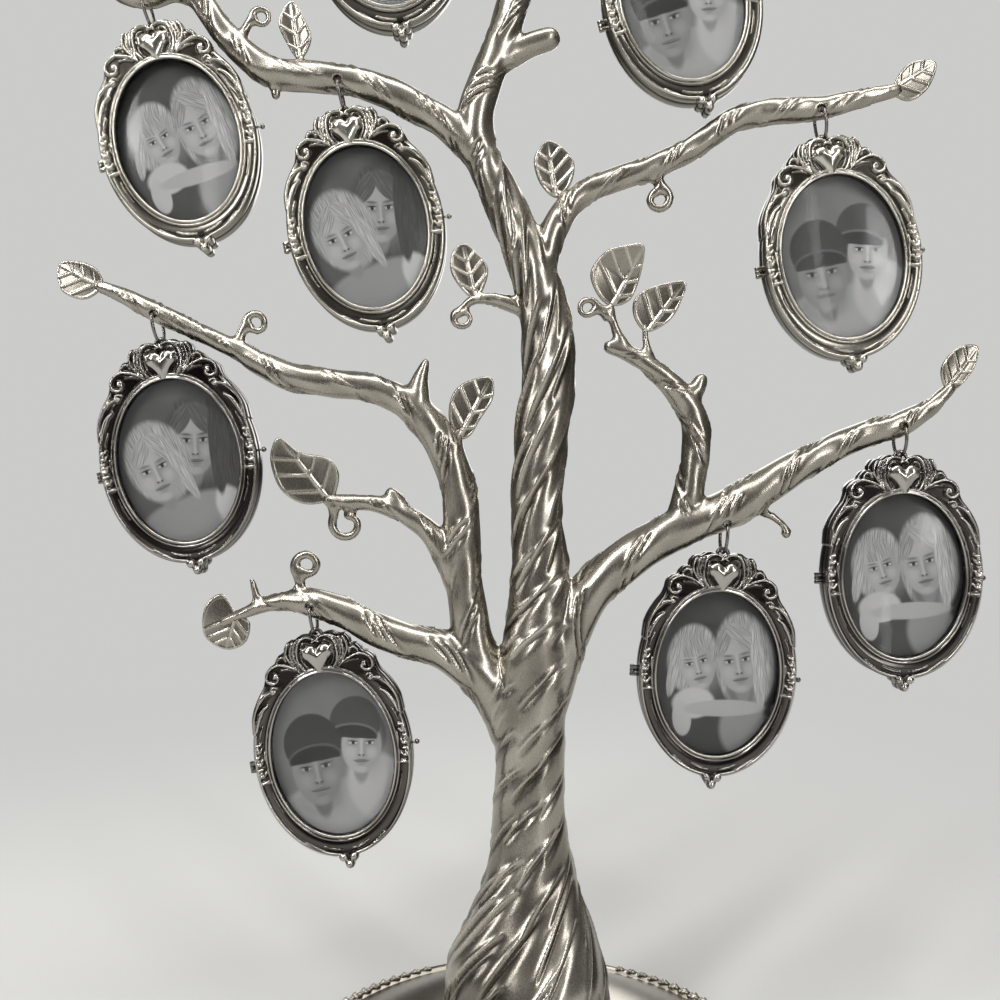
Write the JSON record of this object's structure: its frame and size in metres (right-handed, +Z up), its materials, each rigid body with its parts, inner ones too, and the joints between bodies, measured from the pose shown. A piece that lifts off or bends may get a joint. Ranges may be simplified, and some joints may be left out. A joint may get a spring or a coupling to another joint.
{
  "type": "photo tree stand",
  "caption": "Cast-metal tree on a round domed base with small double-sided oval lockets hanging from its limbs on wire links, each opening to hold a picture behind each pane.",
  "frame": {"origin": "centre of the felt pad's underside, on the table", "axes": "+Z up along the trunk, -Y towards the front, +X to the right seen from the front"},
  "size_m": [0.279, 0.143, 0.4112],
  "materials": {
    "satin_nickel": "satin, cast",
    "bright_nickel": "satin, antiqued",
    "dark_nickel": "polished, antiqued",
    "felt": "felt",
    "pane": "clear",
    "picture": "printed card"
  },
  "bodies": {
    "stand": {"base": "satin_nickel", "felt_pad": "felt", "base_screw": "satin_nickel", "trunk": "satin_nickel", "trunk_twig": "satin_nickel", "upper_left_branch": "satin_nickel", "crown_branch": "satin_nickel", "crown_left_branch": "satin_nickel", "crown_right_branch": "satin_nickel", "upper_right_branch": "satin_nickel", "middle_left_branch": "satin_nickel", "hooked_branch": "satin_nickel", "lower_left_branch": "satin_nickel", "lower_right_branch": "satin_nickel", "forked_branch": "satin_nickel"},
    "link_1": {"link_1": "dark_nickel"},
    "frame_1": {"front_shell_1": "bright_nickel", "panes_1": "pane", "photos_1": "picture"},
    "back_1": {"back_shell_1": "bright_nickel"},
    "link_2": {"link_2": "dark_nickel"},
    "frame_2": {"front_shell_2": "dark_nickel", "panes_2": "pane", "photos_2": "picture"},
    "back_2": {"back_shell_2": "dark_nickel"},
    "link_3": {"link_3": "dark_nickel"},
    "frame_3": {"front_shell_3": "dark_nickel", "panes_3": "pane", "photos_3": "picture"},
    "back_3": {"back_shell_3": "dark_nickel"},
    "link_4": {"link_4": "dark_nickel"},
    "frame_4": {"front_shell_4": "bright_nickel", "panes_4": "pane", "photos_4": "picture"},
    "back_4": {"back_shell_4": "bright_nickel"},
    "link_5": {"link_5": "dark_nickel"},
    "frame_5": {"front_shell_5": "bright_nickel", "panes_5": "pane", "photos_5": "picture"},
    "back_5": {"back_shell_5": "bright_nickel"},
    "link_6": {"link_6": "dark_nickel"},
    "frame_6": {"front_shell_6": "bright_nickel", "panes_6": "pane", "photos_6": "picture"},
    "back_6": {"back_shell_6": "bright_nickel"},
    "link_7": {"link_7": "dark_nickel"},
    "frame_7": {"front_shell_7": "dark_nickel", "panes_7": "pane", "photos_7": "picture"},
    "back_7": {"back_shell_7": "dark_nickel"},
    "link_8": {"link_8": "dark_nickel"},
    "frame_8": {"front_shell_8": "bright_nickel", "panes_8": "pane", "photos_8": "picture"},
    "back_8": {"back_shell_8": "bright_nickel"},
    "link_9": {"link_9": "dark_nickel"},
    "frame_9": {"front_shell_9": "dark_nickel", "panes_9": "pane", "photos_9": "picture"},
    "back_9": {"back_shell_9": "dark_nickel"}
  },
  "joints": [
    {"name": "link_1_swing", "type": "hinge", "parent": "stand", "child": "link_1", "pos_m": [-0.0566, 0, 0.29831], "axis": [0, 1, 0], "range_deg": [-1, 12]},
    {"name": "frame_1_nod", "type": "hinge", "parent": "link_1", "child": "frame_1", "pos_m": [-0.05504, 0, 0.29026], "axis": [0.9816, 0, 0.1908], "range_deg": [-20, 20]},
    {"name": "back_1_open", "type": "hinge", "parent": "frame_1", "child": "back_1", "pos_m": [-0.0725, 0, 0.24958], "axis": [-0.1908, 0, 0.9816], "range_deg": [0, 90]},
    {"name": "link_2_swing", "type": "hinge", "parent": "stand", "child": "link_2", "pos_m": [-0.06487, 0, 0.14201], "axis": [0, 1, 0], "range_deg": [0, 14]},
    {"name": "frame_2_nod", "type": "hinge", "parent": "link_2", "child": "frame_2", "pos_m": [-0.06359, 0, 0.13391], "axis": [0.9877, 0, 0.1564], "range_deg": [-20, 20]},
    {"name": "back_2_open", "type": "hinge", "parent": "frame_2", "child": "back_2", "pos_m": [-0.08246, 0, 0.09386], "axis": [-0.1564, 0, 0.9877], "range_deg": [0, 90]},
    {"name": "link_3_swing", "type": "hinge", "parent": "stand", "child": "link_3", "pos_m": [0.05892, 0, 0.1663], "axis": [0, 1, 0], "range_deg": [-6, 4]},
    {"name": "frame_3_nod", "type": "hinge", "parent": "link_3", "child": "frame_3", "pos_m": [0.05842, 0, 0.15812], "axis": [0.9981, 0, -0.061], "range_deg": [-20, 20]},
    {"name": "back_3_open", "type": "hinge", "parent": "frame_3", "child": "back_3", "pos_m": [0.03133, 0, 0.1231], "axis": [0.061, 0, 0.9981], "range_deg": [0, 90]},
    {"name": "link_4_swing", "type": "hinge", "parent": "stand", "child": "link_4", "pos_m": [-0.04942, 0, 0.38831], "axis": [0, 1, 0], "range_deg": [-3, 12]},
    {"name": "frame_4_nod", "type": "hinge", "parent": "link_4", "child": "frame_4", "pos_m": [-0.04814, 0, 0.38021], "axis": [0.9877, 0, 0.1564], "range_deg": [-20, 20]},
    {"name": "back_4_open", "type": "hinge", "parent": "frame_4", "child": "back_4", "pos_m": [-0.06701, 0, 0.34016], "axis": [-0.1564, 0, 0.9877], "range_deg": [0, 90]},
    {"name": "link_5_swing", "type": "hinge", "parent": "stand", "child": "link_5", "pos_m": [0.03522, 0, 0.36551], "axis": [0, 1, 0], "range_deg": [-1, 14]},
    {"name": "frame_5_nod", "type": "hinge", "parent": "link_5", "child": "frame_5", "pos_m": [0.0372, 0, 0.35756], "axis": [0.9703, 0, 0.2419], "range_deg": [-20, 20]},
    {"name": "back_5_open", "type": "hinge", "parent": "frame_5", "child": "back_5", "pos_m": [0.0219, 0, 0.31602], "axis": [-0.2419, 0, 0.9703], "range_deg": [0, 90]},
    {"name": "link_6_swing", "type": "hinge", "parent": "stand", "child": "link_6", "pos_m": [-0.11463, 0, 0.32351], "axis": [0, 1, 0], "range_deg": [-1, 14]},
    {"name": "frame_6_nod", "type": "hinge", "parent": "link_6", "child": "frame_6", "pos_m": [-0.11265, 0, 0.31556], "axis": [0.9703, 0, 0.2419], "range_deg": [-20, 20]},
    {"name": "back_6_open", "type": "hinge", "parent": "frame_6", "child": "back_6", "pos_m": [-0.12795, 0, 0.27402], "axis": [-0.2419, 0, 0.9703], "range_deg": [0, 90]},
    {"name": "link_7_swing", "type": "hinge", "parent": "stand", "child": "link_7", "pos_m": [-0.11151, 0, 0.22901], "axis": [0, 1, 0], "range_deg": [0, 14]},
    {"name": "frame_7_nod", "type": "hinge", "parent": "link_7", "child": "frame_7", "pos_m": [-0.11009, 0, 0.22093], "axis": [0.9848, 0, 0.1736], "range_deg": [-20, 20]},
    {"name": "back_7_open", "type": "hinge", "parent": "frame_7", "child": "back_7", "pos_m": [-0.12826, 0, 0.18056], "axis": [-0.1736, 0, 0.9848], "range_deg": [0, 90]},
    {"name": "link_8_swing", "type": "hinge", "parent": "stand", "child": "link_8", "pos_m": [0.08737, 0, 0.2899], "axis": [0, 1, 0], "range_deg": [-6, 12]},
    {"name": "frame_8_nod", "type": "hinge", "parent": "link_8", "child": "frame_8", "pos_m": [0.08851, 0, 0.28178], "axis": [0.9903, 0, 0.1392], "range_deg": [-20, 20]},
    {"name": "back_8_open", "type": "hinge", "parent": "frame_8", "child": "back_8", "pos_m": [0.06895, 0, 0.24208], "axis": [-0.1392, 0, 0.9903], "range_deg": [0, 90]},
    {"name": "link_9_swing", "type": "hinge", "parent": "stand", "child": "link_9", "pos_m": [0.1116, 0, 0.1954], "axis": [0, 1, 0], "range_deg": [-8, 4]},
    {"name": "frame_9_nod", "type": "hinge", "parent": "link_9", "child": "frame_9", "pos_m": [0.1116, 0, 0.1872], "axis": [1, 0, 0], "range_deg": [-20, 20]},
    {"name": "back_9_open", "type": "hinge", "parent": "frame_9", "child": "back_9", "pos_m": [0.0867, 0, 0.1506], "axis": [0, 0, 1], "range_deg": [0, 90]}
  ]
}
